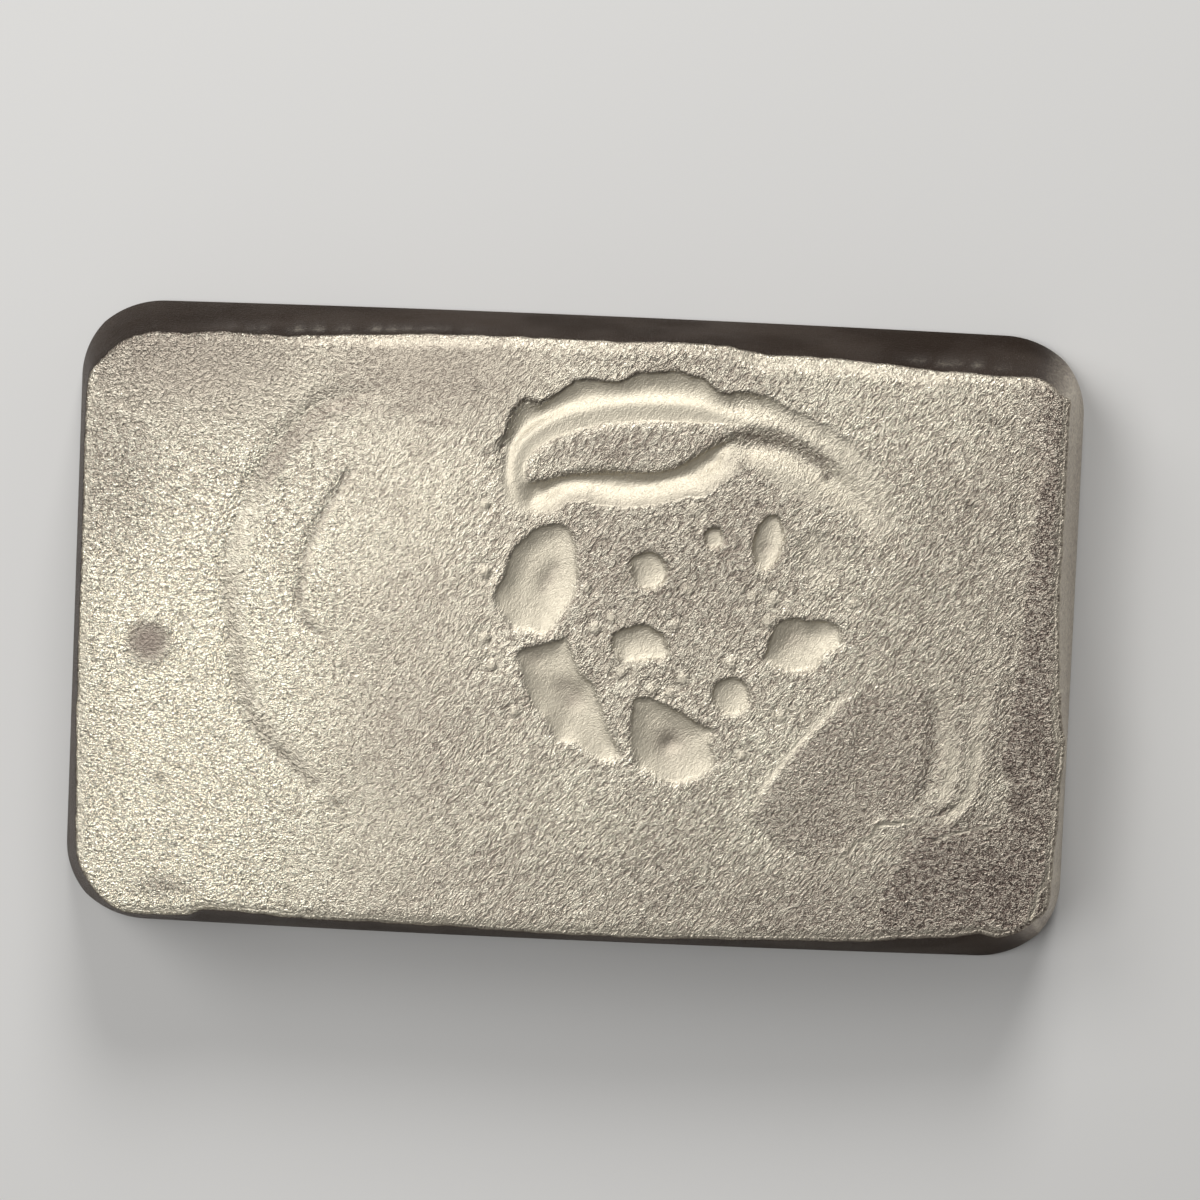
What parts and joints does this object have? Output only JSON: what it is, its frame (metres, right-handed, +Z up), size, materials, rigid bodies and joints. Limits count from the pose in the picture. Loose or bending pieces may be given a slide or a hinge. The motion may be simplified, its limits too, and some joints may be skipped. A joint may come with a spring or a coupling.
{
  "type": "metal ingot",
  "caption": "Small hand-cast white-metal ingot: a flat tapered bar with round corners, blowholes, an air pocket with an island and frozen flow creases in its mould-floor face.",
  "frame": {"origin": "middle of the underside, on the surface that the ingot lies on", "axes": "+X along its length, +Y across its width, +Z up to the mould-floor face"},
  "size_m": [0.1, 0.0628, 0.016],
  "materials": {
    "cast_metal": "as cast white metal, frosted grain, satin"
  },
  "bodies": {
    "root": {"ingot": "cast_metal"}
  },
  "joints": []
}
